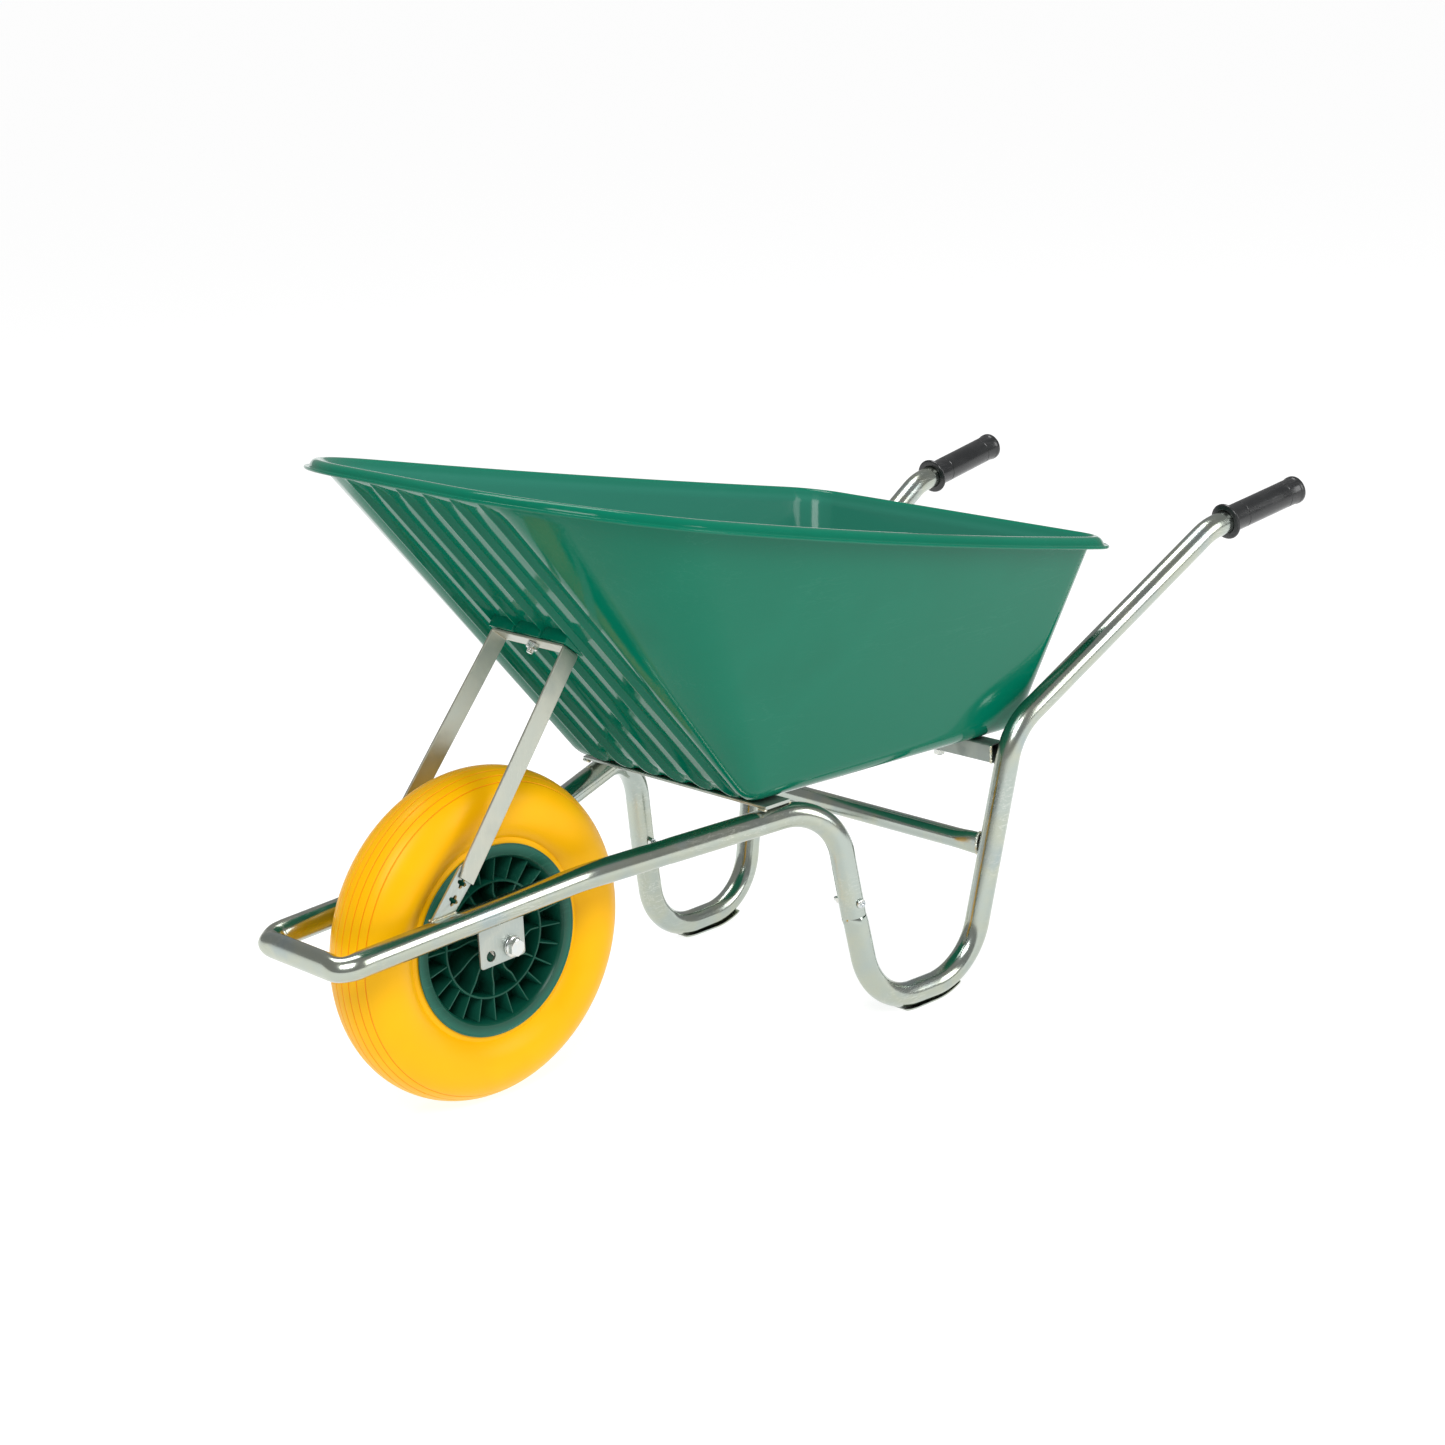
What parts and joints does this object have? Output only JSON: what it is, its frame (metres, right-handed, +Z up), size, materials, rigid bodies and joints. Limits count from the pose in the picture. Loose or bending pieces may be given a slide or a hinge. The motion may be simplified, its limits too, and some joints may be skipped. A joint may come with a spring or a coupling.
{
  "type": "wheelbarrow",
  "caption": "Wheelbarrow: moulded tray on a bent steel tube frame with looped legs, a front brace strap, rubber-like handle grips and a foam wheel that turns on its axle.",
  "frame": {"origin": "on the ground plane, in the middle of the object's length and width", "axes": "+X towards the operator's handles, along the length; +Y towards the operator's right, along the axle; +Z up"},
  "size_m": [1.4392, 0.601, 0.725],
  "materials": {
    "tray": "semi-gloss green polypropylene with light scuffs inside",
    "zinc_tube": "bright zinc-plated steel tube with a faint yellow and blue tint",
    "galvanised_plate": "satin galvanised steel strip and plate",
    "fastener": "zinc-plated fasteners",
    "tyre": "satin yellow polyurethane foam",
    "rim": "satin dark green moulded plastic",
    "bearing": "plain off-white nylon",
    "grip": "glossy black moulded plastic"
  },
  "bodies": {
    "frame": {"tray": "tray", "front_frame": "zinc_tube", "leg_handle_tube_left": "zinc_tube", "leg_handle_tube_right": "zinc_tube", "lower_cross_tube": "zinc_tube", "leg_shoe_left": "zinc_tube", "leg_shoe_right": "zinc_tube", "rear_cross_tube": "galvanised_plate", "front_cross_plate": "galvanised_plate", "axle_bracket_left": "galvanised_plate", "axle_bracket_right": "galvanised_plate", "brace_tab_left": "galvanised_plate", "brace_tab_right": "galvanised_plate", "front_brace": "galvanised_plate", "grip_left": "grip", "grip_right": "grip", "brace_bolt": "fastener", "brace_washer": "fastener", "brace_nut": "fastener", "axle_sleeve": "fastener", "axle_spacer_left": "fastener", "axle_spacer_right": "fastener", "axle_washer_left": "fastener", "axle_washer_right": "fastener", "axle_bolt": "fastener", "axle_nut": "fastener", "sleeve_bolt_left": "fastener", "sleeve_bolt_right": "fastener", "sleeve_nut_left": "fastener", "sleeve_nut_right": "fastener", "tray_bolt_front_left": "fastener", "tray_bolt_front_right": "fastener", "tray_bolt_rear_left": "fastener", "tray_bolt_rear_right": "fastener", "tray_washer_front_left": "fastener", "tray_washer_front_right": "fastener", "tray_washer_rear_left": "fastener", "tray_washer_rear_right": "fastener", "tray_nut_front_left": "fastener", "tray_nut_front_right": "fastener", "tray_nut_rear_left": "fastener", "tray_nut_rear_right": "fastener"},
    "wheel": {"tyre": "tyre", "wheel_rim": "rim", "bearing_left": "bearing", "bearing_right": "bearing"}
  },
  "joints": [
    {"name": "wheel_spin", "type": "hinge", "parent": "frame", "child": "wheel", "pos_m": [-0.4665, 0, 0.1925], "axis": [0, 1, 0], "continuous": true}
  ]
}
